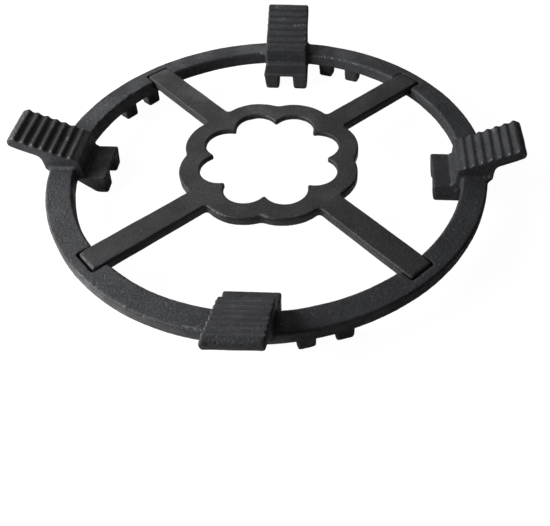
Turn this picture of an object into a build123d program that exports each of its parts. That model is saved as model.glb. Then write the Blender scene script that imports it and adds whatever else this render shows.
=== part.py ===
from build123d import *
import math
import os

# A cast-iron wok ring for a gas hob: one ring casting and a loose cross that drops into its pockets.
# Millimetres. The origin is on the floor under the middle, and +Z is up.

# The flat ring
ring_outer_d = 240.0
ring_width = 13.5
ring_thick = 7.6
ring_edge = 0.8

# Legs and feet hang below the ring on each side of a finger of the hob
foot_drop = 10.0
finger_gap = 9.4
finger_gap_draft = 0.3

# Supports stand on the ring and hold the wok on their ribbed rests
support_count = 4
support_width = 26.2
support_reach = 4.3
support_edge = 0.5
support_top_r = 0.7
support_root_r = 2.0
rest_slope = 25.0
rest_plate = 6.7
rib_count = 7
rib_pitch = 4.82
rib_height = 1.0
rib_crest_width = 2.0
first_rib_inset = 4.0
first_rib_rise = 6.96
nose_reach = 2.0
nose_top_r = 2.0
nose_under_r = 2.5
neck_proud = 2.1
neck_drop = 1.0
neck_curve_r = 4.5

# Under each support a claw reaches inwards and straddles a finger
claw_reach = 11.9
claw_width = 28.0
claw_plate = 1.7
claw_leg_depth = 6.5
claw_inner_draft = 1.3
claw_side_draft = 0.6
claw_edge = 0.7
claw_root_r = 1.6

# Pairs of small feet serve a hob with more fingers, one of which a claw serves
finger_count = 5
foot_inset = 3.1
foot_depth = 7.8
foot_width = 9.2
foot_draft = 0.3
foot_edge = 0.6

# The loose cross has a ring of lobes at its middle, hollowed from below round the hole
arm_count = 4
arm_width = 14.4
arm_thick = 5.4
arm_proud = 0.8
arm_corner_r = 1.2
arm_root_r = 2.0
lobe_count = 8
lobe_circle_r = 26.4
lobe_r = 24.4
lobe_valley_r = 5.0
hole_circle_r = 27.8
hole_lobe_r = 11.9
hole_tip_r = 1.0
hub_plate = 3.0
hub_recess_r = 42.5
cross_edge = 0.5

# The pockets that hold the ends of the cross
pocket_depth = 8.3
pocket_side_gap = 0.8
pocket_end_gap = 1.1
pocket_corner_r = 1.6

# Sizes that follow from those above
ring_outer_r = ring_outer_d / 2
ring_inner_r = ring_outer_r - ring_width
ring_mid_r = (ring_outer_r + ring_inner_r) / 2
ring_bottom = foot_drop
ring_top = ring_bottom + ring_thick
support_inner_r = ring_inner_r - support_reach
first_rib_r = support_inner_r + first_rib_inset
claw_inner_r = support_inner_r - claw_reach
claw_top = ring_bottom + claw_plate
foot_inner_r = ring_inner_r + foot_inset
cross_top = ring_top + arm_proud
cross_bottom = cross_top - arm_thick
support_turn = 360 / support_count
arm_turn = 360 / arm_count
lobe_turn = 360 / lobe_count
gap_at_ring = finger_gap / 2 - finger_gap_draft / 2
gap_at_floor = finger_gap / 2 + finger_gap_draft / 2
pocket_width = arm_width + 2 * pocket_side_gap
pocket_end_r = ring_inner_r + pocket_depth
pocket_start_r = ring_inner_r - 2 * pocket_corner_r
arm_reach = pocket_end_r - pocket_end_gap

# Two shapes touch where they are nearer than this
touch = 0.01

os.makedirs("parts", exist_ok=True)


def all_but_first(count):
    """Equal turns about the upright axis, without the one that lies along X."""
    turn = 360 / count
    return PolarLocations(0, count - 1, start_angle=turn, angular_range=360 - 2 * turn, endpoint=True)


def on_rest(along, below):
    """A point of a support's side, from the first crest up the slope and square to the slope."""
    tilt = math.radians(rest_slope)
    r = first_rib_r + along * math.cos(tilt) + below * math.sin(tilt)
    z = ring_top + first_rib_rise + along * math.sin(tilt) - below * math.cos(tilt)
    return (r, z)


def rest_height(r, below):
    """The height at a radius of the line that runs at a depth under the crests."""
    tilt = math.radians(rest_slope)
    return ring_top + first_rib_rise + (r - first_rib_r) * math.tan(tilt) - below / math.cos(tilt)


def beside_support(edge):
    """Whether an edge lies in the plane of a support's side."""
    for k in range(support_count):
        spot = Plane.XY.rotated((0, 0, k * support_turn)).to_local_coords(edge.center())
        if spot.X > 0 and abs(abs(spot.Y) - support_width / 2) < touch:
            return True
    return False


def from_middle(spot):
    """How far the middle of an edge, or a point, is from the upright line through the origin."""
    return math.hypot(spot.center().X, spot.center().Y)


def on_ring_wall(edge):
    """Whether the middle of an edge lies on the ring's inner or outer wall."""
    r = from_middle(edge)
    return min(abs(r - ring_inner_r), abs(r - ring_outer_r)) < touch


def beside_arm(spot):
    """Whether a point of the cross's outline lies on the side of an arm."""
    for k in range(arm_count):
        turned = Plane.XY.rotated((0, 0, (k + 0.5) * arm_turn)).to_local_coords(spot.center())
        if turned.X > 0 and abs(abs(turned.Y) - arm_width / 2) < touch:
            return True
    return False


# One support, drawn from the side: crests and valleys are arcs that meet at one slope
crest_drop = rib_height * rib_crest_width / rib_pitch
flank_slope = 2 * math.atan(2 * crest_drop / rib_crest_width)
last_crest = (rib_count - 1) * rib_pitch
nose_end = last_crest + rib_crest_width / 2 + nose_reach
nose_corner = on_rest(nose_end, crest_drop + nose_reach * math.tan(flank_slope))
nose_heel = on_rest(nose_end, rest_plate)
neck_r = ring_outer_r + neck_proud
neck_top = (neck_r, rest_height(neck_r, rest_plate))
neck_foot = (neck_r, ring_top - neck_drop)
neck_heel = (ring_outer_r - neck_proud, neck_foot[1] - 2 * neck_proud)
inner_corner = (support_inner_r, rest_height(support_inner_r, crest_drop))
inner_foot = (support_inner_r, claw_top + claw_root_r)
claw_root = (support_inner_r - claw_root_r, claw_top)

with BuildPart() as support:
    with BuildSketch(Plane.XZ) as support_side:
        with BuildLine():
            Line(inner_corner, on_rest(-rib_crest_width / 2, crest_drop))
            for k in range(rib_count):
                crest = k * rib_pitch
                ThreePointArc(
                    on_rest(crest - rib_crest_width / 2, crest_drop),
                    on_rest(crest, 0),
                    on_rest(crest + rib_crest_width / 2, crest_drop),
                )
                if k < rib_count - 1:
                    ThreePointArc(
                        on_rest(crest + rib_crest_width / 2, crest_drop),
                        on_rest(crest + rib_pitch / 2, rib_height),
                        on_rest(crest + rib_pitch - rib_crest_width / 2, crest_drop),
                    )
            Polyline(
                on_rest(last_crest + rib_crest_width / 2, crest_drop),
                nose_corner,
                nose_heel,
                neck_top,
                neck_foot,
                neck_heel,
                (ring_mid_r, neck_heel[1]),
                (ring_mid_r, ring_bottom),
                (claw_root[0], ring_bottom),
                claw_root,
            )
            RadiusArc(claw_root, inner_foot, claw_root_r)
            Line(inner_foot, inner_corner)
        make_face()
        fillet(support_side.vertices().sort_by_distance(nose_corner)[0], nose_top_r)
        fillet(support_side.vertices().sort_by_distance(nose_heel)[0], nose_under_r)
        fillet(support_side.vertices().sort_by_distance(neck_top)[0], neck_curve_r)
        fillet(support_side.vertices().sort_by_distance(inner_corner)[0], support_top_r)
    extrude(amount=support_width / 2, both=True)
    side_edges = support.faces().filter_by(Axis.Y).edges()
    above_ring = side_edges.filter_by(lambda edge: edge.center().Z > ring_top + support_edge)
    inner_edges = side_edges.filter_by(
        lambda edge: edge.center().X < support_inner_r + touch and edge.center().Z > claw_top
    )
    chamfer(above_ring + inner_edges, support_edge)

# A claw is a tapered block from floor to plate, with a notch between its two legs
claw_toe_r = claw_inner_r + claw_inner_draft
claw_heel_r = claw_toe_r + claw_leg_depth
half_claw = claw_width / 2
foot_outer_r = foot_inner_r + foot_depth


def make_claw(heel_r, root_r):
    """A claw whose soles end at one radius and whose back meets the ring at another."""
    with BuildPart() as body:
        with BuildSketch(Plane.YZ.offset(claw_inner_r)):
            Polygon(
                (half_claw, claw_top),
                (-half_claw, claw_top),
                (claw_side_draft - half_claw, 0),
                (-gap_at_floor, 0),
                (-gap_at_ring, ring_bottom),
                (gap_at_ring, ring_bottom),
                (gap_at_floor, 0),
                (half_claw - claw_side_draft, 0),
                align=None,
            )
        extrude(amount=root_r - claw_inner_r)
        with BuildSketch(Plane.XZ):
            Polygon((claw_inner_r, claw_top), (claw_toe_r, 0), (heel_r, 0), (root_r, claw_top), align=None)
        extrude(amount=half_claw, both=True, mode=Mode.INTERSECT)
        notch_roof = body.edges().filter_by(lambda edge: abs(edge.center().Z - ring_bottom) < touch)
        in_ring = body.edges().filter_by(
            lambda edge: edge.center().X > ring_inner_r and edge.center().Z > ring_bottom
        )
        chamfer(body.edges() - notch_roof - in_ring, claw_edge)
    return body.part


# Behind its legs a claw slopes up to the ring, but the one that serves one of five fingers runs on
# under the ring, as far as the feet do
claw = make_claw(claw_heel_r, claw_heel_r + claw_top)
long_claw = make_claw(foot_outer_r - foot_draft, foot_outer_r)

# One small foot, at one side of a finger
foot_far_side = gap_at_ring + foot_width

with BuildPart() as foot:
    with BuildSketch(Plane.YZ.offset(foot_inner_r)):
        Polygon(
            (gap_at_ring, ring_bottom),
            (foot_far_side, ring_bottom),
            (foot_far_side - foot_draft, 0),
            (gap_at_floor, 0),
            align=None,
        )
    extrude(amount=foot_depth)
    with BuildSketch(Plane.XZ):
        Polygon(
            (foot_inner_r, ring_bottom),
            (foot_inner_r + foot_draft, 0),
            (foot_outer_r - foot_draft, 0),
            (foot_outer_r, ring_bottom),
            align=None,
        )
    extrude(amount=-foot_far_side, mode=Mode.INTERSECT)
    chamfer(foot.edges().filter_by(lambda edge: edge.center().Z < ring_bottom - touch), foot_edge)

# The ring casting: ring, supports, claws and feet in one, with the pockets sunk in its top
with BuildPart() as support_ring:
    with BuildSketch(Plane.XY.offset(ring_bottom)):
        Circle(ring_outer_r)
        Circle(ring_inner_r, mode=Mode.SUBTRACT)
    extrude(amount=ring_thick)
    with PolarLocations(0, support_count):
        add(support.part)
    sides = support_ring.edges().filter_by(GeomType.LINE).filter_by(beside_support)
    on_top = sides.filter_by(lambda edge: abs(edge.center().Z - ring_top) < touch)
    fillet(on_top + sides.filter_by(on_ring_wall), support_root_r)
    rims = support_ring.edges().filter_by(GeomType.CIRCLE).filter_by(
        lambda edge: min(abs(edge.radius - ring_inner_r), abs(edge.radius - ring_outer_r)) < touch
    )
    chamfer(rims, ring_edge)
    add(long_claw)
    with all_but_first(support_count):
        add(claw)
    with all_but_first(finger_count):
        add(foot.part)
        add(mirror(foot.part, Plane.XZ, mode=Mode.PRIVATE))
    with BuildSketch(Plane.XY.offset(cross_bottom)):
        with PolarLocations((pocket_start_r + pocket_end_r) / 2, arm_count, start_angle=arm_turn / 2):
            RectangleRounded(pocket_end_r - pocket_start_r, pocket_width, pocket_corner_r)
    extrude(amount=ring_thick, mode=Mode.SUBTRACT)

# The cross: its arms stand at the valleys between lobes
with BuildPart() as cross_insert:
    with BuildSketch(Plane.XY.offset(cross_bottom)) as cross_plan:
        Circle(lobe_circle_r)
        with PolarLocations(lobe_circle_r, lobe_count, start_angle=lobe_turn / 2):
            Circle(lobe_r)
        fillet(cross_plan.vertices(), lobe_valley_r)
        with PolarLocations(arm_reach / 2, arm_count, start_angle=arm_turn / 2):
            Rectangle(arm_reach, arm_width)
        arm_ends = cross_plan.vertices().filter_by(beside_arm)
        arm_ends = arm_ends.filter_by(lambda spot: from_middle(spot) > arm_reach)
        fillet(arm_ends, arm_corner_r)
        arm_roots = cross_plan.vertices().filter_by(beside_arm)
        arm_roots = arm_roots.filter_by(lambda spot: from_middle(spot) < lobe_circle_r + lobe_r)
        fillet(arm_roots, arm_root_r)
        with BuildSketch(mode=Mode.SUBTRACT) as hole:
            Circle(hole_circle_r)
            with PolarLocations(hole_circle_r, lobe_count, start_angle=lobe_turn / 2):
                Circle(hole_lobe_r)
            fillet(hole.vertices(), hole_tip_r)
    extrude(amount=arm_thick)
    chamfer(cross_insert.faces().sort_by(Axis.Z)[-1].edges(), cross_edge)
    with BuildSketch(Plane.XY.offset(cross_bottom)):
        Circle(hub_recess_r)
    extrude(amount=arm_thick - hub_plate, mode=Mode.SUBTRACT)

support_ring.part.label = "support_ring"
cross_insert.part.label = "cross_insert"
export_step(support_ring.part, "parts/support_ring.step")
export_step(cross_insert.part, "parts/cross_insert.step")
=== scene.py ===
import logging
import math
from dataclasses import dataclass
from enum import Enum

import bmesh
import bpy
import numpy as np
from mathutils import Matrix, Vector


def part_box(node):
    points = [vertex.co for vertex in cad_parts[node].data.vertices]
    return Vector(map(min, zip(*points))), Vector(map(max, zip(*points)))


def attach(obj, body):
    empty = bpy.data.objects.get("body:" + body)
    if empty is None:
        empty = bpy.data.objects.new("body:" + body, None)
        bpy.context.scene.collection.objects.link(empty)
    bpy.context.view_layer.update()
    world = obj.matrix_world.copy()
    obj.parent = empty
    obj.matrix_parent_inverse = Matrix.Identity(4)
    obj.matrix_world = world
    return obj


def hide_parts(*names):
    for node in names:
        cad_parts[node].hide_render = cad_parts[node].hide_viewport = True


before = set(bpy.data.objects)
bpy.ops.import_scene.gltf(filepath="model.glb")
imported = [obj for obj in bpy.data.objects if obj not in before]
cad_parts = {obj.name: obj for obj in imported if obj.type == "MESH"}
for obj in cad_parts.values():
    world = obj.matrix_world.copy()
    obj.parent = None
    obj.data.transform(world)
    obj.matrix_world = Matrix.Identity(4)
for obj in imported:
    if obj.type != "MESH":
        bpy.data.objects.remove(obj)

log = logging.getLogger("wok_ring")

MM = 0.001
PICTURE_WIDTH_PX = 550
PICTURE_HEIGHT_PX = 526
SENSOR_MM = 36.0
IRON_IOR = 1.40

WELD = 0.01 * MM  # Points of a CAD mesh that are closer than this are one point.
SOFTENING_STEP = 0.5  # In one round a point moves this share of the way to its neighbours' mean.
SCAR_REACH = 2.5  # Along X, a scar is left out beyond this many of its radii.
PATCH_EDGE = (0.7, 2.0, 0.3)  # Half the soft edge of a patch: out in mm, round in degrees, up in mm.
BULGE_ROUNDS = 2  # How often the bulge is spread before the worn edges are read from it.
EDGE_FROM = 0.04  # The bulge at which an edge starts to be worn and highlit.
EDGE_WEAR_AND_GLINT = 0.7  # The wear of the sharpest edges; part of it is a painted highlight along them.
HOLLOW_SHADE_RANGE = (0.02, 0.22)  # The dip at which the painted shade of a hollow starts, and the dip at which it is fully dark.
PATCHY_CELL = 3.0 * MM  # The size of the stretches that are worn more or less.
PATCHY_SHARE = (0.6, 0.4)  # The mean share of the wear and painted light that is kept, and how much it goes up and down.

Colour = tuple[float, float, float]
Triple = tuple[float, float, float]
Pair = tuple[float, float]
Row = tuple[float, float, float, float]
Socket = bpy.types.NodeSocket
Sockets = dict[str, Socket]


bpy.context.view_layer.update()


class Slot(Enum):
    """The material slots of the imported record."""

    RING = "ring_iron"
    CROSS = "cross_iron"


class Mark(Enum):
    """The point attributes that the meshes carry for the materials."""

    # Wear, with the painted sheen and the painted edge highlights.
    WEAR = "edge_wear"
    # Painted shade in hollows, and the painted dark line round the hub.
    HOLLOW = "hollow"
    # Bare scars, and the painted glints and highlights on some of them.
    SCAR = "scar"
    GRAINY = "grainy"


class Kind(Enum):
    """The kinds of socket that a shader group has."""

    FLOAT = "NodeSocketFloat"
    VECTOR = "NodeSocketVector"
    COLOUR = "NodeSocketColor"


@dataclass(frozen=True)
class IronFinish:
    """How one black sand casting looks.

    The colours are linear, and lengths are in metres.

    Attributes:
        name: The material's name.
        deep: The colour of pits, and of the painted shade in hollows.
        plain: The colour of most of the skin.
        worn: The colour of worn edges and grains, and of the painted sheen and highlights.
        bare: The colour of fresh scars, and of the painted glints and highlights that some scars carry.
        stain: The colour of the large soft stains.
        grain: The size of a sand grain.
        pit: The spacing of the pits.
        blotch: The size of the large soft stains.
        height: How far the grains stand up.
        smooth_rough: The least roughness.
        coarse_rough: The greatest roughness.
    """

    name: str
    deep: Colour
    plain: Colour
    worn: Colour
    bare: Colour
    stain: Colour
    grain: float
    pit: float
    blotch: float
    height: float
    smooth_rough: float
    coarse_rough: float


RING_FINISH = IronFinish(
    name="ring_casting",
    deep=(0.010, 0.010, 0.011),
    plain=(0.0352, 0.0363, 0.0402),
    worn=(0.138, 0.135, 0.130),
    bare=(0.33, 0.335, 0.345),
    stain=(0.0475, 0.050, 0.0565),
    grain=0.85 * MM,
    pit=2.1 * MM,
    blotch=17.0 * MM,
    height=0.32 * MM,
    smooth_rough=0.40,
    coarse_rough=0.62,
)

CROSS_FINISH = IronFinish(
    name="cross_casting",
    deep=(0.011, 0.0105, 0.010),
    plain=(0.0315, 0.0305, 0.0295),
    worn=(0.110, 0.107, 0.103),
    bare=(0.28, 0.275, 0.265),
    stain=(0.0405, 0.0410, 0.0445),
    grain=0.65 * MM,
    pit=2.6 * MM,
    blotch=22.0 * MM,
    height=0.24 * MM,
    smooth_rough=0.38,
    coarse_rough=0.60,
)


def ease(part: np.ndarray) -> np.ndarray:
    """Softens both ends of a rise from 0 to 1, as t * t * (3 - 2 * t)."""
    return part * part * (3.0 - 2.0 * part)


def ramp(values: np.ndarray, low: float | np.ndarray, high: float | np.ndarray) -> np.ndarray:
    """Rises from 0 at one value to 1 at another, with a soft start and end."""
    return ease(np.clip((values - low) / (high - low), 0.0, 1.0))


def reach(points: np.ndarray) -> np.ndarray:
    """Gives each point's distance from the ring's axis."""
    return np.hypot(points[:, 0], points[:, 1])


def bearing(points: np.ndarray) -> np.ndarray:
    """Gives each point's turn about the ring's axis, in degrees from 0 to 360."""
    return np.degrees(np.arctan2(points[:, 1], points[:, 0])) % 360.0


def quarter(turn: int) -> np.ndarray:
    """Gives the direction of a support, from its quarter turns from the right one."""
    return np.array([math.cos(turn * math.pi / 2), math.sin(turn * math.pi / 2)])


def opaque(colour: Colour) -> Row:
    """Gives a colour as a socket takes it, with a full alpha."""
    return (*colour, 1.0)


def grey(value: float) -> Row:
    """Gives an even grey as a socket takes it."""
    return opaque((value, value, value))


def in_scene(name: str, data: bpy.types.ID) -> bpy.types.Object:
    """Puts a mesh, a lamp or a camera into the scene, at the origin.

    Args:
        name: The new object's name.
        data: What it shows.

    Returns:
        The new object.
    """
    piece = bpy.data.objects.new(name, data)
    bpy.context.scene.collection.objects.link(piece)
    return piece


class LatticeNoise:
    """Smooth random heights in space, from a lattice of random numbers.

    Between the lattice points the value is their weighted mean, eased along each axis.

    Attributes:
        count: The lattice points along each axis, after which they repeat.
    """

    count = 64

    def __init__(self, cell: float, seed: int) -> None:
        """Makes the lattice from a seed, with its points one cell apart, in metres."""
        self.cell = cell
        self.values = np.random.default_rng(seed).uniform(-1.0, 1.0, (self.count,) * 3)

    def at(self, points: np.ndarray) -> np.ndarray:
        """Gives the noise at many points at once.

        Args:
            points: An array of n by 3 places, in metres.

        Returns:
            n values from -1 to 1.
        """
        place = points / self.cell
        low = np.floor(place).astype(int)
        part = ease(place - low)
        total = np.zeros(len(points))
        for corner in np.ndindex(2, 2, 2):
            weight = np.prod(np.where(corner, part, 1.0 - part), axis=1)
            cells = (low + corner) % self.count
            total += weight * self.values[cells[:, 0], cells[:, 1], cells[:, 2]]
        return total


class Skin:
    """A mesh as whole arrays: its points, normals and edges."""

    def __init__(self, mesh: bpy.types.Mesh) -> None:
        """Reads the arrays from the mesh.

        Args:
            mesh: The mesh to read.
        """
        self.mesh = mesh
        count = len(mesh.vertices)
        points = np.empty(count * 3, np.float32)
        normals = np.empty(count * 3, np.float32)
        ends = np.empty(len(mesh.edges) * 2, np.int32)
        mesh.vertices.foreach_get("co", points)
        mesh.vertex_normals.foreach_get("vector", normals)
        mesh.edges.foreach_get("vertices", ends)
        self.points = points.reshape(-1, 3).astype(float)
        self.normals = normals.reshape(-1, 3).astype(float)
        self.edges = ends.reshape(-1, 2)

    def neighbour_mean(self, values: np.ndarray) -> np.ndarray:
        """Averages a value over the points that edges join to each point.

        Args:
            values: One value a point.

        Returns:
            The mean of each point's neighbours.
        """
        count = len(self.points)
        first, second = self.edges.T
        total = np.bincount(first, values[second], count) + np.bincount(second, values[first], count)
        degree = np.bincount(self.edges.ravel(), minlength=count)
        return total / np.maximum(degree, 1)

    def bulge(self, rounds: int) -> np.ndarray:
        """How far each point stands out from its neighbours, as a share of the edge length there.

        The offset from the neighbours' mean, along the normal, is divided by the mean edge length, and the
        result is spread over the neighbours a few times.

        Args:
            rounds: How often the result is spread.

        Returns:
            Positive numbers on outer edges and negative ones in hollows.
        """
        offset = np.zeros(len(self.points))
        for axis in range(3):
            along = self.points[:, axis]
            offset += (along - self.neighbour_mean(along)) * self.normals[:, axis]
        lengths = np.linalg.norm(self.points[self.edges[:, 0]] - self.points[self.edges[:, 1]], axis=1)
        result = offset / lengths.mean()
        for _ in range(rounds):
            result = (result + self.neighbour_mean(result)) / 2
        return result

    def move(self, points: np.ndarray) -> None:
        """Moves the mesh's points to new places, in metres."""
        self.mesh.vertices.foreach_set("co", points.astype(np.float32).ravel())
        self.mesh.update()

    def store(self, mark: Mark, values: np.ndarray) -> None:
        """Keeps one value a point as an attribute of the mesh."""
        layer = self.mesh.attributes.new(mark.value, "FLOAT", "POINT")
        layer.data.foreach_set("value", values.astype(np.float32))


@dataclass(frozen=True)
class Scar:
    """A bead, a chip or a painted glint on the cast skin, in millimetres.

    Attributes:
        place: Its middle.
        radius: Its size.
        height: How far it stands up, or less than 0 for a chip.
        shine: How bare it is, from 0 to 1; on a glint or a highlit rib end it is how bright the painted
            highlight is.
    """

    place: Triple
    radius: float
    height: float
    shine: float


@dataclass(frozen=True)
class Patch:
    """A patch of pale grains on the casting.

    Attributes:
        low: The least radius in millimetres, turn in degrees and height in millimetres.
        high: The greatest ones.
        share: How dense the grains are, from 0 to 1.
    """

    low: Triple
    high: Triple
    share: float

    def at(self, points: np.ndarray) -> np.ndarray:
        """How dense the grains are at each point: the share inside, falling to 0 at the edges.

        Args:
            points: n by 3 places on the surface, in metres.

        Returns:
            n shares from 0 to 1.
        """
        spots = np.stack([reach(points) / MM, bearing(points), points[:, 2] / MM], axis=1)
        low, high, soft = np.array(self.low), np.array(self.high), np.array(PATCH_EDGE)
        inside = ramp(spots, low - soft, low + soft) * (1.0 - ramp(spots, high - soft, high + soft))
        return self.share * np.prod(inside, axis=1)


@dataclass
class Casting:
    """A sand casting that stands for one CAD node, with softened edges and an uneven skin.

    Attributes:
        node: The CAD node.
        slot: The material slot; it is not used.
        finish: The look of the iron.
        voxel: The cell of the remesh.
        smoothing: How often every edge is softened.
        swelling: How far the skin stands out to make up for the softened edges.
        triangles: The most triangles that the piece may have.
        swell: The height of the broad unevenness.
        swell_cell: Its size across.
        skin: The height of the fine unevenness.
        skin_cell: Its size across.
        sharp: The bulge of an edge that is fully worn and carries the full painted edge highlight.
        seed: The seed of the random numbers.
        beads: The single beads and chips, and the painted glints.
        patches: The patches of pale grains.
    """

    node: str
    slot: Slot
    finish: IronFinish
    voxel: float = 0.4 * MM
    smoothing: int = 1
    swelling: float = 0.13 * MM
    triangles: int = 195_000
    swell: float = 0.10 * MM
    swell_cell: float = 8.0 * MM
    skin: float = 0.05 * MM
    skin_cell: float = 1.4 * MM
    sharp: float = 0.30
    seed: int = 11
    beads: tuple[Scar, ...] = ()
    patches: tuple[Patch, ...] = ()

    def merged_copy(self) -> bpy.types.Object:
        """Copies the CAD node's mesh into a new object and merges its loose triangles.

        Returns:
            The new object, at the origin.
        """
        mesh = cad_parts[self.node].data.copy()
        mesh.name = f"{self.node}_cast"
        mesh.materials.clear()
        work = bmesh.new()
        work.from_mesh(mesh)
        bmesh.ops.remove_doubles(work, verts=work.verts, dist=WELD)
        work.to_mesh(mesh)
        work.free()
        return in_scene(mesh.name, mesh)

    def bake(self, piece: bpy.types.Object) -> None:
        """Replaces a piece's mesh with the one its modifiers give, and clears the modifiers.

        Args:
            piece: The object to bake.
        """
        graph = bpy.context.evaluated_depsgraph_get()
        graph.update()
        mesh = bpy.data.meshes.new_from_object(piece.evaluated_get(graph))
        old = piece.data
        piece.modifiers.clear()
        piece.data = mesh
        bpy.data.meshes.remove(old)

    def refine(self, piece: bpy.types.Object) -> None:
        """Remeshes the piece in small cells and softens its edges.

        In each round that a point is due, it moves part of the way to its neighbours' mean.

        Args:
            piece: The merged copy.
        """
        remesh = piece.modifiers.new("cells", "REMESH")
        remesh.mode = "VOXEL"
        remesh.voxel_size = self.voxel
        self.bake(piece)
        skin = Skin(piece.data)
        due = self.rounds(skin.points)
        for turn in range(int(due.max())):
            mean = np.stack([skin.neighbour_mean(along) for along in skin.points.T], axis=1)
            share = SOFTENING_STEP * np.clip(due - turn, 0.0, 1.0)
            skin.points += share[:, None] * (mean - skin.points)
        skin.move(skin.points)

    def rounds(self, points: np.ndarray) -> np.ndarray:
        """How often each point is softened."""
        return np.full(len(points), float(self.smoothing))

    def scars(self) -> list[Scar]:
        """Gives all the beads, chips and painted glints of this casting."""
        return list(self.beads)

    def relief(self, points: np.ndarray) -> np.ndarray:
        """How far the cast skin stands off the plain form: broad swell, fine unevenness and scars.

        Each scar is a bump that falls with the square of the distance from its middle, as exp(-(d/r)^2).

        Args:
            points: n by 3 places on the surface, in metres.

        Returns:
            n heights along the normals, in metres.
        """
        height = self.swelling + self.swell * LatticeNoise(self.swell_cell, self.seed).at(points)
        height += self.skin * LatticeNoise(self.skin_cell, self.seed + 1).at(points)
        for scar in self.scars():
            height += scar.height * MM * self.nearness(points, scar)
        return height

    def nearness(self, points: np.ndarray, scar: Scar) -> np.ndarray:
        """How near each point is to a scar: 1 at its middle, and almost 0 at two radii.

        Args:
            points: n by 3 places on the surface, in metres.
            scar: The scar.

        Returns:
            n shares.
        """
        place = np.array(scar.place) * MM
        close = np.flatnonzero(np.abs(points[:, 0] - place[0]) < SCAR_REACH * scar.radius * MM)
        apart = points[close] - place
        share = np.zeros(len(points))
        share[close] = np.exp(-np.einsum("ij,ij->i", apart, apart) / (scar.radius * MM) ** 2)
        return share

    def roughen(self, piece: bpy.types.Object) -> None:
        """Moves each point of the refined piece along its normal by the relief."""
        skin = Skin(piece.data)
        skin.move(skin.points + skin.normals * self.relief(skin.points)[:, None])

    def thin(self, piece: bpy.types.Object) -> None:
        """Joins triangles down to the piece's budget, and keeps its points inside the CAD node's box.

        Args:
            piece: The roughened piece.
        """
        piece.data.calc_loop_triangles()
        count = len(piece.data.loop_triangles)
        if count > self.triangles:
            thinner = piece.modifiers.new("thinner", "DECIMATE")
            thinner.ratio = self.triangles / count
            self.bake(piece)
        low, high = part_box(self.node)
        skin = Skin(piece.data)
        skin.move(np.clip(skin.points, np.array(low), np.array(high)))

    def mark(self, piece: bpy.types.Object) -> None:
        """Stores the wear with its painted sheen and highlights, the painted shade of the hollows, the
        scars with their painted glints, and the grains for the material.

        Args:
            piece: The thinned piece.
        """
        skin = Skin(piece.data)
        bulge = skin.bulge(BULGE_ROUNDS)
        mean, swing = PATCHY_SHARE
        patchy = mean + swing * LatticeNoise(PATCHY_CELL, self.seed + 2).at(skin.points)
        # Edge wear, part of it a painted highlight, and the wear and painted light of each place.
        wear_and_painted_light = np.maximum(EDGE_WEAR_AND_GLINT * ramp(bulge, EDGE_FROM, self.sharp), self.wear_and_painted_light(skin.points))
        skin.store(Mark.WEAR, wear_and_painted_light * patchy)
        # The painted shade of hollows, and the painted dark line round the hub.
        skin.store(Mark.HOLLOW, np.maximum(ramp(-bulge, *HOLLOW_SHADE_RANGE), self.dark_reflection_line(skin)))
        bare = np.zeros(len(skin.points))
        for scar in self.scars():
            bare = np.maximum(bare, scar.shine * self.nearness(skin.points, scar))
        skin.store(Mark.SCAR, bare)
        grainy = np.zeros(len(skin.points))
        for patch in self.patches:
            grainy = np.maximum(grainy, patch.at(skin.points))
        skin.store(Mark.GRAINY, grainy)

    def wear_and_painted_light(self, points: np.ndarray) -> np.ndarray:
        """How worn each point is by its place, with the painted light it gets there, from 0 to 1."""
        return np.zeros(len(points))

    def dark_reflection_line(self, skin: Skin) -> np.ndarray:
        """How deep each point lies in a painted dark line of the casting, from 0 to 1."""
        return np.zeros(len(skin.points))

    def build(self) -> None:
        """Makes the casting, dresses it and puts it in the CAD node's place."""
        piece = self.merged_copy()
        self.refine(piece)
        self.roughen(piece)
        self.thin(piece)
        self.mark(piece)
        piece.data.shade_smooth()
        piece.data.materials.append(iron_material(self.finish))
        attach(piece, "root")
        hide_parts(self.node)
        piece.data.calc_loop_triangles()
        log.info("%s: %d triangles", piece.name, len(piece.data.loop_triangles))


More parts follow.
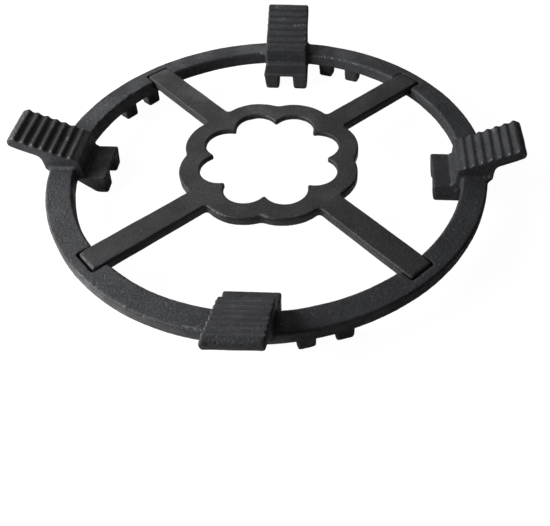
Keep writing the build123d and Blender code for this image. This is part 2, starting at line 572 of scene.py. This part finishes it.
@dataclass
class SupportRing(Casting):
    """The ring casting: the flat ring, the four supports, the claws and the feet.

    Sizes are in millimetres and angles in degrees. A row is for the right, back, left and front support.

    Attributes:
        crest_r: The radius of the first rib's crest.
        crest_z: Its height.
        rib_pitch: From crest to crest, up the slope.
        rib_count: The ribs on one support.
        slope: The slope of the rests.
        half_width: Half the width of a support.
        edge_z: The height of the nicks and chips along the ring's top edges.
        leg_top: Between these heights the rounder skin of the legs and feet ends.
        leg_rounds: How much more often the legs are softened.
        nose_r: Between these radii a support turns into its nose.
        nose_rounds: How much more often the noses are softened.
        nose_wear: How worn the small specks on the noses are.
        speck_cell: The size of those specks.
        speck_range: The noise at which a speck starts, and the noise at which it is full.
        wall_r: Between these radii the ring's outer wall starts.
        wall_top: Between these heights the painted sheen on the wall ends.
        wall_sheen: How strong that painted sheen is at the most.
        sheen_angle: The middle of the stretch of outer wall, on the side lit by the key lamp, where a sheen
            is painted.
        sheen_spread: Half the length of that stretch.
        crest_shine: How strong the painted highlight along the crests of the ribs is.
        crest_lead: How far before the first crest the highlit line starts.
        crest_line: Half the height of the highlit line along a crest.
        crest_shine_share: The mean share of that painted highlight that is kept, and how much it goes up
            and down.
        tip_shift: How far up the slope the highlit rib ends lie from the crests.
        tip_height: How far those rib ends stand up.
        tip_sizes: Their least and greatest size on each support.
        bright_tips: The least and greatest painted highlight on the left and right supports' front rib
            ends.
        dull_tips: The same for all the others.
        nick_turns: The turns of the nicks beside the front support: the first, and from nick to nick.
        nick_count: How many nicks there are.
        nick_size: The size of a nick.
        chip_turns: The turns between which chips break the inner edge.
        chip_count: How many chips there are.
        chip_r: The radius of that edge.
    """

    crest_r: float = 106.2
    crest_z: float = 24.56
    rib_pitch: float = 4.82
    rib_count: int = 7
    slope: float = 25.0
    half_width: float = 13.1
    edge_z: float = 17.4
    leg_top: Pair = (8.4, 9.6)
    leg_rounds: int = 14
    nose_r: Pair = (133.0, 134.5)
    nose_rounds: int = 8
    nose_wear: float = 0.25
    speck_cell: float = 0.9
    speck_range: Pair = (-0.3, 0.3)
    # The painted sheen on a stretch of the outer wall, on the side the key lamp lights.
    wall_r: Pair = (118.7, 119.2)
    wall_top: Pair = (16.2, 17.0)
    wall_sheen: float = 0.85
    sheen_angle: float = 232.0
    sheen_spread: float = 24.0
    # Painted highlights along the crests, strongest on the left support.
    crest_shine: Row = (0.0, 0.1, 1.0, 0.3)
    crest_lead: float = 1.0
    crest_line: float = 0.35
    crest_shine_share: Pair = (0.85, 0.3)
    tip_shift: Row = (-0.9, 0.0, 0.6, 0.0)
    tip_height: Row = (0.05, 0.16, 0.05, 0.22)
    tip_sizes: tuple[Pair, ...] = ((0.28, 0.44), (0.45, 0.7), (0.45, 0.7), (0.45, 0.7))
    bright_tips: Pair = (0.6, 1.0)
    dull_tips: Pair = (0.1, 0.6)
    nick_turns: Pair = (256.6, 0.52)
    nick_count: int = 9
    nick_size: float = 0.45
    chip_turns: Pair = (141.0, 167.0)
    chip_count: int = 11
    chip_r: float = 106.9

    def rounds(self, points: np.ndarray) -> np.ndarray:
        """How often each point is softened: the legs, feet and noses more than the ribs."""
        low = 1.0 - ramp(points[:, 2] / MM, *self.leg_top)
        return super().rounds(points) + self.leg_rounds * low + self.nose_rounds * self.on_nose(points)

    def on_nose(self, points: np.ndarray) -> np.ndarray:
        """How far each point is on the nose of a support, from 0 to 1."""
        return ramp(reach(points) / MM, *self.nose_r)

    def on_wall(self, points: np.ndarray) -> np.ndarray:
        """How far each point is on the stretch of the outer wall where a sheen is painted.

        Along the ring it falls as exp(-(d/s)^2), for a point d degrees from the middle and the spread s.

        Args:
            points: n by 3 places on the surface, in metres.

        Returns:
            n shares from 0 to 1.
        """
        outside = ramp(reach(points) / MM, *self.wall_r)
        low = 1.0 - ramp(points[:, 2] / MM, *self.wall_top)
        along = np.exp(-(((bearing(points) - self.sheen_angle) / self.sheen_spread) ** 2))
        return outside * (1.0 - self.on_nose(points)) * low * along

    def crest_shine_at(self, points: np.ndarray) -> np.ndarray:
        """How strong the painted highlight is at each point along the crest of a rib.

        It falls with the height d over or under the line that joins a support's crests, as exp(-(d/h)^2).

        Args:
            points: n by 3 places on the surface, in metres.

        Returns:
            n shares from 0 to 1.
        """
        worn = np.zeros(len(points))
        for turn, share in enumerate(self.crest_shine):
            out = points[:, :2] @ quarter(turn)
            line = self.crest_z * MM + (out - self.crest_r * MM) * math.tan(math.radians(self.slope))
            off = (points[:, 2] - line) / (self.crest_line * MM)
            started = out > (self.crest_r - self.crest_lead) * MM
            worn = np.maximum(worn, share * np.exp(-(off**2)) * started)
        return worn

    def wear_and_painted_light(self, points: np.ndarray) -> np.ndarray:
        """How worn each point is by its place, with painted light added: wear specks on the noses, a
        painted highlight along the ribs' crests, and a painted sheen on a stretch of the outer wall.

        Args:
            points: n by 3 places on the surface, in metres.

        Returns:
            n shares from 0 to 1.
        """
        # Wear specks on the noses, a painted highlight along the crests, and the painted sheen on the outer
        # wall.
        noise = LatticeNoise(self.speck_cell * MM, self.seed + 4).at(points)
        nose = self.nose_wear * self.on_nose(points) * ramp(noise, *self.speck_range)
        mean, swing = self.crest_shine_share
        crests = self.crest_shine_at(points) * (mean + swing * noise)
        return np.maximum(np.maximum(nose, self.wall_sheen * self.on_wall(points)), crests)

    def rib_end_highlights(self) -> list[Scar]:
        """Makes the rib ends at both sides of each support: small bumps with painted highlights.

        Returns:
            Two for each rib.
        """
        draw = np.random.default_rng(self.seed + 3)
        side_y, drop, stray = self.half_width - 0.3, 0.2, 0.5
        tips = []
        for turn, (shift, height, sizes) in enumerate(zip(self.tip_shift, self.tip_height, self.tip_sizes)):
            way = quarter(turn)
            across = np.array([-way[1], way[0]])
            for rib in range(self.rib_count):
                along = rib * self.rib_pitch + shift
                r = self.crest_r + along * math.cos(math.radians(self.slope))
                z = self.crest_z + along * math.sin(math.radians(self.slope))
                for side in (-1.0, 1.0):
                    spot = way * (r + draw.uniform(-stray, stray)) + across * side * side_y
                    # The front rib ends of the left and right supports get the brightest painted
                    # highlights.
                    bright = spot[1] < 0.0 and turn in (0, 2)
                    shine = draw.uniform(*(self.bright_tips if bright else self.dull_tips))
                    tips.append(Scar((spot[0], spot[1], z - drop), draw.uniform(*sizes), height, shine))
        return tips

    def on_edge(self, r: float, turn: float) -> Triple:
        """Gives the place on the ring's top edges at a radius and a turn."""
        return (r * math.cos(math.radians(turn)), r * math.sin(math.radians(turn)), self.edge_z)

    def nicks(self) -> list[Scar]:
        """Makes the row of nicks along the outer edge, beside the front support.

        Returns:
            A bright lip and a dent for each nick.
        """
        draw = np.random.default_rng(self.seed + 6)
        lip_r, dent_r, stray = 118.5, 119.1, 0.1
        start, step = self.nick_turns
        row = []
        for nick in range(self.nick_count):
            turn = start + step * nick + draw.uniform(-stray, stray)
            row.append(Scar(self.on_edge(lip_r, turn), self.nick_size, 0.10, draw.uniform(0.3, 0.8)))
            row.append(Scar(self.on_edge(dent_r, turn), self.nick_size, -0.45, 0.0))
        return row

    def chips(self) -> list[Scar]:
        """Makes the chips that break the inner edge.

        Returns:
            The chips.
        """
        draw = np.random.default_rng(self.seed + 8)
        row = []
        for turn in draw.uniform(*self.chip_turns, self.chip_count):
            size, height = draw.uniform(0.7, 1.3), draw.uniform(-0.6, -0.2)
            row.append(Scar(self.on_edge(self.chip_r, turn), size, height, 0.0))
        return row

    def scars(self) -> list[Scar]:
        """Gives the highlit rib ends, the nicks, the single beads and the chips."""
        return self.rib_end_highlights() + self.nicks() + super().scars() + self.chips()


@dataclass
class CrossInsert(Casting):
    """The loose cross: four arms, and a ring of lobes round the hole. Sizes are in millimetres.

    Attributes:
        end_r: Between these radii the ends of the arms start.
        end_rounds: How much more often they are softened.
        more_rounds: How much more often the whole cross is softened than the ring.
        bevel_z: The height of the bevel's lower edge.
        wall_top: Between these heights the painted pale reflection on the walls ends.
        wall_sheen: How pale that painted reflection is.
        hub_r: Between these radii the hub ends.
        dark_line_half: Half the height of the painted dark reflection line round the hub.
        dark_line_steep: The line fades between these upward parts of the normal.
    """

    end_r: Pair = (109.5, 111.5)
    end_rounds: int = 26
    more_rounds: float = 1.0
    bevel_z: float = 17.1
    # The painted pale reflection on the walls, and the painted dark line round the hub.
    wall_top: Pair = (16.3, 16.8)
    wall_sheen: float = 0.5
    hub_r: Pair = (53.0, 56.0)
    dark_line_half: float = 0.4
    dark_line_steep: Pair = (0.75, 0.95)

    def rounds(self, points: np.ndarray) -> np.ndarray:
        """How often each point is softened: more than on the ring, and most at the arms' ends."""
        end = ramp(reach(points) / MM, *self.end_r)
        return super().rounds(points) + self.more_rounds + self.end_rounds * end

    def wear_and_painted_light(self, points: np.ndarray) -> np.ndarray:
        """How pale each point is by its place: a painted reflection of the floor makes the walls under the
        bevel paler.
        """
        return self.wall_sheen * (1.0 - ramp(points[:, 2] / MM, *self.wall_top))

    def dark_reflection_line(self, skin: Skin) -> np.ndarray:
        """How deep each point lies in the painted dark reflection line round the hub, under its bevel.

        The line falls with the height d over or under the bevel's lower edge, as exp(-(d/h)^2).

        Args:
            skin: The thinned piece's surface.

        Returns:
            n shares from 0 to 1.
        """
        off = (skin.points[:, 2] - self.bevel_z * MM) / (self.dark_line_half * MM)
        steep = 1.0 - ramp(skin.normals[:, 2], *self.dark_line_steep)
        hub = 1.0 - ramp(reach(skin.points) / MM, *self.hub_r)
        return np.exp(-(off**2)) * steep * hub


class Graph:
    """A short way to lay out and join shader nodes."""

    def __init__(self, tree: bpy.types.NodeTree) -> None:
        """Takes the tree to work in, of a material, a group or the world."""
        self.tree = tree

    def feed(self, node: bpy.types.Node, inputs: dict) -> None:
        """Sets a node's inputs.

        Args:
            node: The node.
            inputs: Its inputs by name or place: a socket is joined, and anything else is set.
        """
        for name, value in inputs.items():
            if isinstance(value, Socket):
                self.tree.links.new(value, node.inputs[name])
            else:
                node.inputs[name].default_value = value

    def add(self, kind: str, settings: dict | None = None, inputs: dict | None = None) -> bpy.types.Node:
        """Adds one node.

        Args:
            kind: The node's type.
            settings: Properties to set on it.
            inputs: Its inputs, as feed takes them.

        Returns:
            The new node.
        """
        node = self.tree.nodes.new(kind)
        for name, value in (settings or {}).items():
            setattr(node, name, value)
        self.feed(node, inputs or {})
        return node

    def math(self, operation: str, first: Socket | float, second: Socket | float = 0.0) -> Socket:
        """Adds one sum and gives its result."""
        return self.add("ShaderNodeMath", {"operation": operation}, {0: first, 1: second}).outputs[0]

    def mix(self, factor: Socket, first: Socket, second: Socket, kind: str = "MixRGB") -> Socket:
        """Blends two colours, or two shaders where the kind is MixShader."""
        return self.add(f"ShaderNode{kind}", inputs={0: factor, 1: first, 2: second}).outputs[0]

    def grade(self, value: Socket, low: float, high: float, start: float = 0.0, end: float = 1.0) -> Socket:
        """Maps a range of values softly onto another.

        Args:
            value: The value to map.
            low: Where its range starts.
            high: Where its range ends.
            start: What the start becomes.
            end: What the end becomes.

        Returns:
            The mapped value.
        """
        inputs = {"Value": value, "From Min": low, "From Max": high, "To Min": start, "To Max": end}
        node = self.add("ShaderNodeMapRange", {"interpolation_type": "SMOOTHSTEP"}, inputs)
        return node.outputs["Result"]


def new_group(
    name: str, takes: dict[str, Kind], gives: dict[str, Kind]
) -> tuple[Graph, Sockets, bpy.types.Node]:
    """Starts a shader node group.

    Args:
        name: The group's name.
        takes: The inputs' names and kinds of socket.
        gives: The outputs' names and kinds of socket.

    Returns:
        The group's graph, its inputs by name, and the node that takes its results.
    """
    tree = bpy.data.node_groups.new(name, "ShaderNodeTree")
    for side, sockets in (("INPUT", takes), ("OUTPUT", gives)):
        for label, kind in sockets.items():
            tree.interface.new_socket(label, in_out=side, socket_type=kind.value)
    start = tree.nodes.new("NodeGroupInput")
    end = tree.nodes.new("NodeGroupOutput")
    return Graph(tree), dict(start.outputs.items()), end


@dataclass(frozen=True)
class SandSkin:
    """The shader group for a sand-cast skin: rounded grains of two sizes, small pits, and pale grit.

    A range is the noise, distance or chance at which something starts, and the one at which it is full.

    Attributes:
        name: The group's name.
        coarse_scale: How many coarse grains there are for one fine grain.
        coarse_height: How far the coarse grains stand up beside the fine ones.
        pit_depth: How deep a pit is beside them.
        pit_rim: The range of a pit's rim, in pit spacings from its middle.
        pit_chance: The range in which a cell has a pit.
        flecks: The range of the fine noise that is a pale fleck.
        grit_scale: How many bits of grit there are for one fine grain.
        grit_rim: The range of a bit's rim, in its spacings from its middle.
        spark_chance: The range in which a bit is a spark anywhere on the skin.
        crowd_chance: The range in which a bit is a grain of a patch.
    """

    name: str = "sand_cast_skin"
    coarse_scale: float = 0.42
    coarse_height: float = 0.8
    pit_depth: float = 0.7
    pit_rim: Pair = (0.05, 0.24)
    pit_chance: Pair = (0.62, 0.74)
    flecks: Pair = (0.56, 0.74)
    grit_scale: float = 0.75
    grit_rim: Pair = (0.26, 0.50)
    spark_chance: Pair = (0.86, 1.0)
    crowd_chance: Pair = (0.35, 0.95)

    def cells(self, graph: Graph, place: Socket, scale: Socket, rim: Pair) -> tuple[Socket, Sockets]:
        """Scatters round spots, one in each cell of a Voronoi pattern.

        Args:
            graph: The group's graph.
            place: Where on the piece.
            scale: The cells in a metre.
            rim: Where a spot's rim starts and ends.

        Returns:
            The spots, from 0 to 1, and three chances of each cell by name.
        """
        pattern = graph.add("ShaderNodeTexVoronoi", inputs={"Vector": place, "Scale": scale})
        chances = graph.add("ShaderNodeSeparateColor", inputs={"Color": pattern.outputs["Color"]})
        return graph.grade(pattern.outputs["Distance"], *rim, 1.0, 0.0), dict(chances.outputs.items())

    def build(self) -> bpy.types.NodeTree:
        """Makes the group.

        Returns:
            The group. All that it puts out changes over the surface.
        """
        takes = {"Place": Kind.VECTOR, "Grains per Metre": Kind.FLOAT, "Pits per Metre": Kind.FLOAT}
        gives = dict.fromkeys(("Height", "Pits", "Flecks", "Sparks", "Crowd"), Kind.FLOAT)
        graph, given, out = new_group(self.name, takes, gives)
        place, scale = given["Place"], given["Grains per Metre"]
        noise = {"Vector": place, "Scale": scale, "Detail": 3.0, "Roughness": 0.62}
        fine = graph.add("ShaderNodeTexNoise", inputs=noise).outputs["Fac"]
        noise = {"Vector": place, "Scale": graph.math("MULTIPLY", scale, self.coarse_scale), "Detail": 2.0}
        coarse = graph.add("ShaderNodeTexNoise", inputs=noise).outputs["Fac"]
        holes, chances = self.cells(graph, place, given["Pits per Metre"], self.pit_rim)
        pits = graph.math("MULTIPLY", holes, graph.grade(chances["Red"], *self.pit_chance))
        grains = graph.math("ADD", fine, graph.math("MULTIPLY", coarse, self.coarse_height))
        dense = graph.math("MULTIPLY", scale, self.grit_scale)
        grit, chances = self.cells(graph, place, dense, self.grit_rim)
        results = {
            "Height": graph.math("SUBTRACT", grains, graph.math("MULTIPLY", pits, self.pit_depth)),
            "Pits": pits,
            "Flecks": graph.grade(fine, *self.flecks),
            "Sparks": graph.math("MULTIPLY", grit, graph.grade(chances["Green"], *self.spark_chance)),
            "Crowd": graph.math("MULTIPLY", grit, graph.grade(chances["Blue"], *self.crowd_chance)),
        }
        graph.feed(out, results)
        return graph.tree


@dataclass(frozen=True)
class BlackIronTint:
    """The shader group that colours the iron: stains, dark pits, painted shade in hollows, worn edges with
    painted sheen and highlights, flecks and grains.

    Attributes:
        name: The group's name.
        stains: The noise at which a stain starts, and the noise at which it is full.
        flecks: How much of a fleck shows.
        hollows: How dark the painted shade of a hollow is.
        wear: How much of the wear and of the painted sheen and highlights shows.
        sparks: How much of a spark shows.
        grains: How much of a pale grain shows.
        gloss: How much less rough worn iron is.
    """

    name: str = "black_iron_tint"
    stains: Pair = (0.38, 0.66)
    flecks: float = 0.62
    hollows: float = 0.65
    wear: float = 0.7
    sparks: float = 0.20
    grains: float = 0.85
    gloss: float = 0.14

    def build(self) -> bpy.types.NodeTree:
        """Makes the group.

        Returns:
            The group. Its colour and roughness change all over the surface.
        """
        masks = ("Pits", "Flecks", "Wear", "Sparks", "Crowd", "Grainy", "Hollow", "Scar")
        takes = {"Place": Kind.VECTOR}
        takes |= dict.fromkeys(("Blotches per Metre", *masks, "Smooth", "Coarse"), Kind.FLOAT)
        takes |= dict.fromkeys(("Deep", "Plain", "Worn", "Bare", "Stain"), Kind.COLOUR)
        gives = {"Color": Kind.COLOUR, "Roughness": Kind.FLOAT}
        graph, given, out = new_group(self.name, takes, gives)
        noise = {"Vector": given["Place"], "Scale": given["Blotches per Metre"]}
        noise |= {"Detail": 4.0, "Roughness": 0.6}
        stained = graph.grade(graph.add("ShaderNodeTexNoise", inputs=noise).outputs["Fac"], *self.stains)
        # Dark pits, and the painted shade of hollows.
        dark = graph.math("MAXIMUM", given["Pits"], graph.math("MULTIPLY", given["Hollow"], self.hollows))
        grains = graph.math("MULTIPLY", given["Crowd"], given["Grainy"])
        colour = graph.mix(stained, given["Plain"], given["Stain"])
        colour = graph.mix(graph.math("MULTIPLY", given["Flecks"], self.flecks), colour, given["Worn"])
        colour = graph.mix(dark, colour, given["Deep"])
        # Wear, with the painted sheen and the painted edge highlights.
        colour = graph.mix(graph.math("MULTIPLY", given["Wear"], self.wear), colour, given["Worn"])
        colour = graph.mix(graph.math("MULTIPLY", given["Sparks"], self.sparks), colour, given["Bare"])
        colour = graph.mix(graph.math("MULTIPLY", grains, self.grains), colour, given["Bare"])
        # Bare scars, and the painted glints and highlights.
        colour = graph.mix(given["Scar"], colour, given["Bare"])
        less = graph.math("SUBTRACT", given["Smooth"], given["Coarse"])
        matt = graph.math("ADD", given["Coarse"], graph.math("MULTIPLY", stained, less))
        roughness = graph.math("SUBTRACT", matt, graph.math("MULTIPLY", given["Wear"], self.gloss))
        graph.feed(out, {"Color": colour, "Roughness": roughness})
        return graph.tree


def shared(group: SandSkin | BlackIronTint) -> bpy.types.NodeTree:
    """Finds a shader group that was made before, or makes it."""
    return bpy.data.node_groups.get(group.name) or group.build()


def iron_material(finish: IronFinish) -> bpy.types.Material:
    """Makes the material of one casting.

    Args:
        finish: The colours and grain of the casting.

    Returns:
        The new material.
    """
    material = bpy.data.materials.new(finish.name)
    material.use_nodes = True
    graph = Graph(material.node_tree)
    spot = graph.add("ShaderNodeTexCoord").outputs["Object"]
    marks = {}
    for mark in Mark:
        node = graph.add("ShaderNodeAttribute", {"attribute_name": mark.value})
        marks[mark.name.capitalize()] = node.outputs["Fac"]
    scales = {"Grains per Metre": 1.0 / finish.grain, "Pits per Metre": 1.0 / finish.pit}
    sand = graph.add("ShaderNodeGroup", {"node_tree": shared(SandSkin())}, {"Place": spot, **scales})
    inputs = {
        "Place": spot,
        "Blotches per Metre": 1.0 / finish.blotch,
        "Deep": opaque(finish.deep),
        "Plain": opaque(finish.plain),
        "Worn": opaque(finish.worn),
        "Bare": opaque(finish.bare),
        "Stain": opaque(finish.stain),
        "Smooth": finish.smooth_rough,
        "Coarse": finish.coarse_rough,
    }
    inputs |= marks | {name: sand.outputs[name] for name in ("Pits", "Flecks", "Sparks", "Crowd")}
    tint = graph.add("ShaderNodeGroup", {"node_tree": shared(BlackIronTint())}, inputs)
    bump = graph.add("ShaderNodeBump", inputs={"Height": sand.outputs["Height"], "Distance": finish.height})
    looks = {"Base Color": tint.outputs["Color"], "Roughness": tint.outputs["Roughness"]}
    looks |= {"Normal": bump.outputs["Normal"], "IOR": IRON_IOR}
    graph.feed(material.node_tree.nodes["Principled BSDF"], looks)
    return material


@dataclass(frozen=True)
class Lamp:
    """One soft lamp that points at the ring.

    Attributes:
        name: Its name.
        spot: Where it hangs, in metres.
        power: Its power in watts.
        width: Its level side, in metres.
        height: Its other side, in metres.
    """

    name: str
    spot: Triple
    power: float
    width: float
    height: float

    def build(self) -> None:
        """Hangs the lamp."""
        data = bpy.data.lights.new(self.name, "AREA")
        data.energy = self.power
        data.shape = "RECTANGLE"
        data.size = self.width
        data.size_y = self.height
        lamp = in_scene(self.name, data)
        lamp.location = self.spot
        lamp.visible_camera = False
        lamp.rotation_mode = "QUATERNION"
        lamp.rotation_quaternion = (-Vector(self.spot)).to_track_quat("-Z", "Y")


LAMPS = (
    Lamp("key", (-0.485, -0.09, 0.245), power=4.9, width=0.60, height=0.28),
    Lamp("back", (-0.32, 1.19, 0.47), power=2.35, width=0.7, height=0.4),
    Lamp("front", (0.0, -0.99, 0.99), power=0.15, width=0.5, height=0.5),
)


@dataclass
class Studio:
    """The pale floor, the soft lights and the camera.

    The middle is where the lens's axis meets the picture.

    Attributes:
        eye_mm: The camera's place, in millimetres.
        turn_deg: Its turn about the upright axis, in degrees.
        tilt_deg: How far it is tilted up from looking straight down.
        roll_deg: Its roll about its own axis.
        focal_px: The focal length, in pixels.
        middle_x_px: The middle, in pixels from the picture's left edge.
        middle_y_px: The middle, in pixels from its top edge.
        near: What is nearer than this to the camera isn't seen, in metres.
        floor_size: The floor's side, in metres.
        room_colour: The colour of the room's soft light.
        room_strength: Its strength.
        floor_seen: The floor's grey to the camera, on which the shadow falls.
        floor_glow: What the floor adds to that.
        floor_bounced: The floor's grey to soft light.
        floor_mirrored: The floor's grey to reflections.
        floor_rough: The floor's roughness.
    """

    eye_mm: Triple = (47.03, -279.84, 252.41)
    turn_deg: float = 1.128
    tilt_deg: float = 40.693
    roll_deg: float = 0.619
    focal_px: float = 648.62
    middle_x_px: float = 343.89
    middle_y_px: float = 265.35
    near: float = 0.01
    floor_size: float = 6.0
    room_colour: Colour = (0.95, 0.97, 1.0)
    room_strength: float = 0.055
    floor_seen: float = 0.14
    floor_glow: float = 0.966
    floor_bounced: float = 0.20
    floor_mirrored: float = 0.85
    floor_rough: float = 0.9

    def camera(self) -> None:
        """Makes the camera that looks as the photograph does."""
        data = bpy.data.cameras.new("camera")
        data.sensor_width = SENSOR_MM
        data.lens = self.focal_px / PICTURE_WIDTH_PX * SENSOR_MM
        data.shift_x = (PICTURE_WIDTH_PX / 2 - self.middle_x_px) / PICTURE_WIDTH_PX
        data.shift_y = (self.middle_y_px - PICTURE_HEIGHT_PX / 2) / PICTURE_WIDTH_PX
        data.clip_start = self.near
        camera = in_scene("camera", data)
        turn = Matrix.Rotation(math.radians(self.turn_deg), 4, "Z")
        tilt = Matrix.Rotation(math.radians(self.tilt_deg), 4, "X")
        roll = Matrix.Rotation(math.radians(self.roll_deg), 4, "Z")
        camera.matrix_world = Matrix.Translation(Vector(self.eye_mm) * MM) @ turn @ tilt @ roll
        bpy.context.scene.camera = camera

    def world(self) -> None:
        """Lights the room softly, and shows white behind everything."""
        world = bpy.data.worlds.new("room")
        world.use_nodes = True
        graph = Graph(world.node_tree)
        room = world.node_tree.nodes["Background"]
        graph.feed(room, {"Color": opaque(self.room_colour), "Strength": self.room_strength})
        white = graph.add("ShaderNodeBackground", inputs={"Color": grey(1.0), "Strength": 1.0})
        seen = graph.add("ShaderNodeLightPath").outputs["Is Camera Ray"]
        either = graph.mix(seen, room.outputs["Background"], white.outputs["Background"], "MixShader")
        graph.feed(world.node_tree.nodes["World Output"], {"Surface": either})
        bpy.context.scene.world = world

    def paper(self) -> bpy.types.Material:
        """Makes the floor's material: bright to the camera, paper in reflections, dim to soft light.

        Returns:
            The new material.
        """
        material = bpy.data.materials.new("paper")
        material.use_nodes = True
        graph = Graph(material.node_tree)
        seen = material.node_tree.nodes["Principled BSDF"]
        graph.feed(seen, {"Base Color": grey(self.floor_seen), "Roughness": self.floor_rough})
        graph.feed(seen, {"Emission Color": grey(1.0), "Emission Strength": self.floor_glow})
        unseen = []
        for value in (self.floor_bounced, self.floor_mirrored):
            unseen.append(graph.add("ShaderNodeBsdfDiffuse", inputs={"Color": grey(value)}).outputs["BSDF"])
        ray = graph.add("ShaderNodeLightPath").outputs
        either = graph.mix(ray["Is Glossy Ray"], *unseen, "MixShader")
        either = graph.mix(ray["Is Camera Ray"], either, seen.outputs["BSDF"], "MixShader")
        graph.feed(material.node_tree.nodes["Material Output"], {"Surface": either})
        return material

    def floor(self) -> None:
        """Lays the white floor under the soles."""
        half = self.floor_size / 2
        mesh = bpy.data.meshes.new("floor")
        ends = [(-half, -half, 0.0), (half, -half, 0.0), (half, half, 0.0), (-half, half, 0.0)]
        mesh.from_pydata(ends, [], [(0, 1, 2, 3)])
        mesh.materials.append(self.paper())
        floor = in_scene("floor", mesh)

    def build(self) -> None:
        """Makes the whole studio."""
        self.camera()
        self.world()
        self.floor()
        for lamp in LAMPS:
            lamp.build()
        bpy.context.scene.view_settings.view_transform = "Standard"


# Beads and chips where this casting has them.
RING_BEADS = (
    Scar((-54.6, -105.9, 17.4), 1.3, 0.30, 0.15),
    Scar((-45.9, -110.4, 17.0), 0.8, -0.30, 0.1),
    Scar((-73.5, -93.8, 17.4), 0.9, 0.25, 0.1),
    Scar((-111.0, 1.3, 26.9), 0.6, 0.15, 1.0),
    Scar((-110.6, -0.6, 26.7), 0.5, 0.10, 0.7),
    Scar((122.7, 10.9, 31.5), 0.6, 0.15, 1.0),
    Scar((123.0, 8.6, 31.6), 0.5, 0.10, 0.8),
    Scar((102.9, -13.9, 9.1), 0.9, 0.20, 0.7),
    Scar((120.3, -13.4, 17.9), 1.2, 0.25, 0.5),
    Scar((7.8, 119.3, 30.7), 0.7, 0.10, 0.6),
    Scar((5.1, 119.0, 30.4), 0.7, 0.10, 0.6),
    Scar((10.4, 119.8, 30.8), 0.7, 0.10, 0.7),
    Scar((-5.1, 123.3, 32.4), 0.6, 0.10, 0.5),
    Scar((-2.4, 123.6, 32.7), 0.6, 0.10, 0.5),
    Scar((-16.4, 106.0, 17.6), 0.9, 0.25, 0.8),
    Scar((-7.6, 131.8, 36.0), 0.6, 0.0, 0.8),
    Scar((119.5, -13.4, 19.2), 0.6, 0.1, 0.7),
    Scar((118.6, -14.5, 17.5), 0.6, 0.1, 0.7),
    Scar((120.7, -13.2, 21.6), 0.5, 0.0, 0.5),
    Scar((-13.4, -136.6, 34.6), 2.4, 0.9, 0.0),
    Scar((100.1, -12.8, 11.7), 0.7, 0.1, 0.5),
)

# The pale specks of single places, and then the few all over the ring's top and the slopes.
RING_PATCHES = (
    Patch((132.0, 174.0, 35.0), (138.0, 186.0, 38.0), 1.0),
    Patch((134.5, 0.0, 34.0), (138.0, 6.0, 38.0), 0.5),
    Patch((134.5, 354.0, 34.0), (138.0, 360.0, 38.0), 0.5),
    Patch((107.0, 152.0, 17.0), (118.5, 168.0, 18.0), 0.4),
    Patch((106.0, 50.0, 16.5), (107.4, 80.0, 18.0), 1.0),
    Patch((106.0, 275.0, 16.5), (107.4, 297.0, 18.0), 0.5),
    Patch((106.0, 205.0, 17.0), (121.0, 262.0, 18.0), 0.15),
    Patch((89.5, 182.0, 10.6), (101.0, 189.0, 12.2), 0.7),
    Patch((106.0, -9.0, 17.0), (121.0, 369.0, 18.0), 0.08),
    Patch((100.0, -9.0, 19.0), (140.0, 369.0, 40.0), 0.12),
)

# The painted glints on the front lobes' edges, and then three smudges on the hub.
CROSS_GLINTS_AND_SMUDGES = (
    Scar((-25.1, -43.6, 17.9), 0.8, 0.0, 0.35),
    Scar((-22.8, -45.2, 17.9), 0.9, 0.0, 0.5),
    Scar((-20.5, -46.2, 18.0), 0.8, 0.0, 0.4),
    Scar((-18.4, -47.2, 18.0), 0.7, 0.0, 0.3),
    Scar((-0.1, -46.0, 18.3), 0.5, 0.0, 0.7),
    Scar((1.0, -46.4, 18.3), 0.5, 0.0, 0.9),
    Scar((2.0, -46.8, 18.3), 0.5, 0.0, 0.8),
    Scar((3.1, -47.2, 18.3), 0.5, 0.0, 0.6),
    Scar((32.9, -31.8, 18.3), 4.5, 0.0, 0.09),
    Scar((37.0, -27.5, 18.3), 3.0, 0.0, 0.07),
    Scar((-12.0, -41.0, 18.3), 3.5, 0.0, 0.05),
)

# The pale specks on the hub's back edges and its front, and then the few all over the top.
CROSS_PATCHES = (
    Patch((22.0, 55.0, 17.6), (50.0, 125.0, 19.0), 0.6),
    Patch((24.0, 180.0, 18.0), (50.0, 358.0, 19.0), 0.3),
    Patch((20.0, -9.0, 18.0), (120.0, 369.0, 19.0), 0.07),
)

CASTINGS = (
    SupportRing(
        node="support_ring",
        slot=Slot.RING,
        finish=RING_FINISH,
        beads=RING_BEADS,
        patches=RING_PATCHES,
    ),
    CrossInsert(
        node="cross_insert",
        slot=Slot.CROSS,
        finish=CROSS_FINISH,
        triangles=150_000,
        swelling=0.05 * MM,
        skin=0.035 * MM,
        # A low bulge for full wear, so the cross's soft edges carry painted highlights too.
        sharp=0.16,
        seed=23,
        beads=CROSS_GLINTS_AND_SMUDGES,
        patches=CROSS_PATCHES,
    ),
)


def main() -> None:
    """Builds the castings and the studio."""
    logging.basicConfig(level=logging.INFO, format="%(name)s %(message)s")
    for casting in CASTINGS:
        casting.build()
    Studio().build()


if __name__ == "__main__":
    main()
